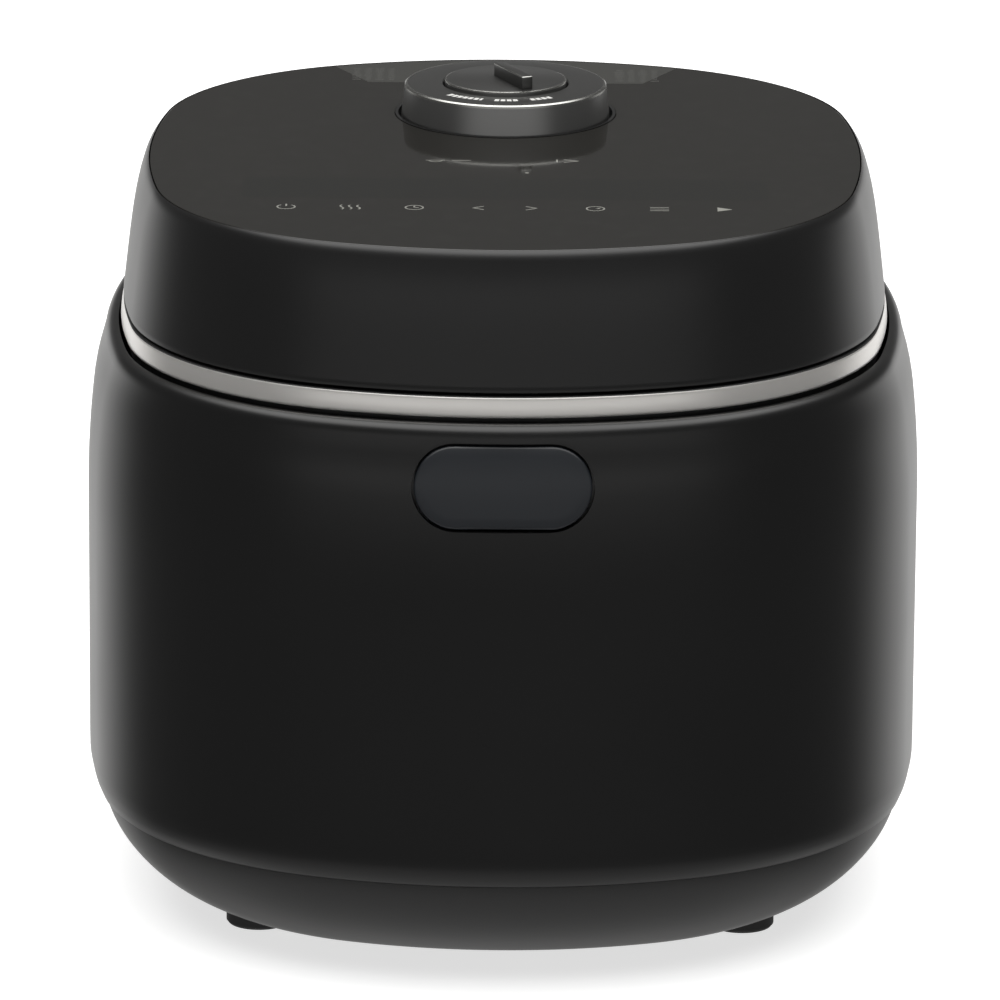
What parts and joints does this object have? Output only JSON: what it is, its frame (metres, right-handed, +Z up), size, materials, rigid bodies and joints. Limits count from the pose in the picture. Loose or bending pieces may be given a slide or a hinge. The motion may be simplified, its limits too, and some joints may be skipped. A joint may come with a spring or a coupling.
{
  "type": "electric pressure cooker",
  "caption": "Countertop electric pressure cooker: rounded black body, bright trim ring, hinged lid with a glossy touch panel, a turning lock knob and a front release button.",
  "frame": {"origin": "middle of the bounding box on the floor, under the feet", "axes": "+Z up, +Y towards the hinge at the back, -Y towards the release button at the front, +X towards the right-hand side seen from the front"},
  "size_m": [0.307, 0.35, 0.29],
  "materials": {
    "base_black": "satin, fine grain",
    "shell_black": "satin black",
    "lid_black": "satin black",
    "cover_black": "satin",
    "frame_black": "matte, fine grain",
    "panel_gloss": "high gloss",
    "bezel_black": "gloss",
    "knob_black": "satin metallic black",
    "dial_black": "satin metallic black",
    "button_dark": "satin",
    "ring_silver": "satin",
    "rubber_black": "matte",
    "gasket_silicone": "soft matte",
    "housing_sheet": "drawn sheet",
    "lock_steel": "pressed",
    "plate_steel": "brushed",
    "valve_steel": "turned",
    "latch_steel": "zinc plated",
    "pin_steel": "ground",
    "screw_steel": "zinc plated",
    "spring_steel": "bright wire",
    "pot_coated": "non-stick coating inside",
    "heater_alloy": "cast",
    "heater_tube": "heat-dulled",
    "sensor_alloy": "turned",
    "switch_blue": "moulded",
    "switch_black": "moulded",
    "board_green": "solder resist",
    "fuse_white": "ceramic",
    "inlet_black": "moulded",
    "contact_brass": "plated",
    "collector_grey": "smoked translucent plastic",
    "float_red": "moulded",
    "display_dark": "gloss"
  },
  "bodies": {
    "body": {"base": "base_black", "foot_pads": "rubber_black", "base_screws": "screw_steel", "body_shell": "shell_black", "rear_wall": "shell_black", "trim_ring": "ring_silver", "upper_frame": "frame_black", "pot_housing": "housing_sheet", "lock_flange": "lock_steel", "inner_pot": "pot_coated", "heating_plate": "heater_alloy", "heater_coil": "heater_tube", "sensor_spring": "spring_steel", "pressure_switch": "switch_blue", "power_board": "board_green", "board_screws": "screw_steel", "thermal_fuse": "fuse_white", "power_inlet": "inlet_black", "inlet_pins": "contact_brass", "button_spring": "spring_steel", "latch_bracket": "latch_steel", "latch_pin": "pin_steel", "latch_spring": "spring_steel", "dew_bracket": "frame_black", "hinge_pin": "pin_steel", "hinge_spring": "spring_steel"},
    "lid": {"lid_shell": "lid_black", "lid_cover": "cover_black", "lid_frame": "frame_black", "top_panel": "panel_gloss", "knob_bezel": "bezel_black", "valve_seat": "valve_steel", "pressure_plate": "plate_steel", "inner_lid": "plate_steel", "lid_gasket": "gasket_silicone", "filter_cap": "plate_steel", "lid_stud": "pin_steel", "lid_grommet": "rubber_black", "control_board": "board_green", "display_module": "display_dark", "touch_board": "board_green", "touch_springs": "contact_brass", "buzzer": "switch_black", "lid_catch": "latch_steel", "lid_screws": "screw_steel"},
    "knob": {"lock_knob": "knob_black", "lock_lever": "latch_steel"},
    "lock": {"lock_ring": "lock_steel"},
    "dial": {"valve_dial": "dial_black"},
    "weight": {"pressure_valve": "valve_steel"},
    "float": {"float_valve": "float_red"},
    "button": {"release_button": "button_dark"},
    "latch": {"latch_hook": "latch_steel"},
    "sensor": {"sensor_cap": "sensor_alloy"},
    "collector": {"dew_collector": "collector_grey"}
  },
  "joints": [
    {"name": "lid_hinge", "type": "hinge", "parent": "body", "child": "lid", "pos_m": [0, 0.1435, 0.225], "axis": [-1, 0, 0], "range_deg": [0, 85]},
    {"name": "knob_turn", "type": "hinge", "parent": "lid", "child": "knob", "pos_m": [0, 0.0579, 0.25], "axis": [0, 0, 1], "range_deg": [0, 40]},
    {"name": "ring_turn", "type": "hinge", "parent": "lid", "child": "lock", "pos_m": [0, -0.0035, 0.228], "axis": [0, 0, 1], "range_deg": [0, 20]},
    {"name": "dial_turn", "type": "hinge", "parent": "lid", "child": "dial", "pos_m": [0, 0.0579, 0.28], "axis": [0, 0, 1], "range_deg": [0, 50]},
    {"name": "weight_lift", "type": "slide", "parent": "lid", "child": "weight", "axis": [0, 0, 1], "range_m": [0, 0.003]},
    {"name": "float_lift", "type": "slide", "parent": "lid", "child": "float", "axis": [0, 0, 1], "range_m": [0, 0.004]},
    {"name": "button_push", "type": "slide", "parent": "body", "child": "button", "axis": [0, 1, 0], "range_m": [0, 0.003], "stiffness_N_per_m": 700, "springref_m": -0.003},
    {"name": "latch_swing", "type": "hinge", "parent": "body", "child": "latch", "pos_m": [0, -0.1514, 0.1961], "axis": [1, 0, 0], "range_deg": [0, 17]},
    {"name": "sensor_press", "type": "slide", "parent": "body", "child": "sensor", "axis": [0, 0, -1], "range_m": [0, 0.003], "stiffness_N_per_m": 300, "springref_m": -0.003, "deforming": ["sensor_spring"]},
    {"name": "collector_pull", "type": "slide", "parent": "body", "child": "collector", "axis": [0, 1, 0], "range_m": [0, 0.022]}
  ],
  "couplings": [
    {"joint": "ring_turn", "follows": "knob_turn", "ratio": 0.49465},
    {"joint": "latch_swing", "follows": "button_push", "rad_per_m": 93}
  ]
}
